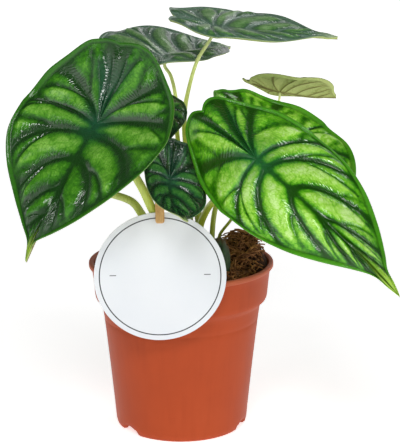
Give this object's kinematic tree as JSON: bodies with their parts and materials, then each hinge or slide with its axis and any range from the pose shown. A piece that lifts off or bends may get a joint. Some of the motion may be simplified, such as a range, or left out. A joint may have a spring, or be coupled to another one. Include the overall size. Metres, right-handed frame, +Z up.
{
  "type": "potted plant",
  "caption": "Dragon scale alocasia: ribbed shield-shaped leaves on bare stalks, in a terracotta-coloured nursery pot of coir, with a round card pegged to a stalk.",
  "frame": {"origin": "under the middle of the whole plant's bounding box, on the floor that the pot stands on", "axes": "+Z up, -Y towards the front of the plant, where the card hangs, and +X to the right seen from there"},
  "size_m": [0.2284, 0.241, 0.2719],
  "materials": {
    "pot_plastic": "matte moulded plastic",
    "leaf_dark_green": "waxy, half glossy",
    "leaf_bright_green": "waxy, glossy",
    "leaf_grey_green": "waxy, half glossy",
    "leaf_blue_green": "waxy, half glossy",
    "leaf_pale_underside": "matte",
    "stalk_olive": "smooth, half glossy",
    "old_leaf_base": "matte, fibrous",
    "coir": "rough, matte",
    "card_white": "smooth, matte",
    "peg_wood": "bare, matte",
    "peg_wire": "bright drawn wire"
  },
  "bodies": {
    "root": {"pot": "pot_plastic", "leaf_left_front": "leaf_dark_green", "leaf_right_front": "leaf_bright_green", "leaf_right_behind": "leaf_bright_green", "leaf_upper_left": "leaf_grey_green", "leaf_top": "leaf_grey_green", "leaf_middle": "leaf_blue_green", "leaf_right_small": "leaf_pale_underside", "leaf_left_behind": "leaf_blue_green", "leaf_left_low": "leaf_dark_green", "stalk_left_front": "stalk_olive", "stalk_right_front": "stalk_olive", "stalk_right_behind": "stalk_olive", "stalk_upper_left": "stalk_olive", "stalk_top": "stalk_olive", "stalk_middle": "stalk_olive", "stalk_right_small": "stalk_olive", "stalk_left_behind": "stalk_olive", "stalk_left_low": "stalk_olive", "leaf_base_old": "old_leaf_base", "coir": "coir", "card": "card_white", "peg_front_leg": "peg_wood", "peg_rear_leg": "peg_wood", "peg_spring": "peg_wire"}
  },
  "joints": []
}
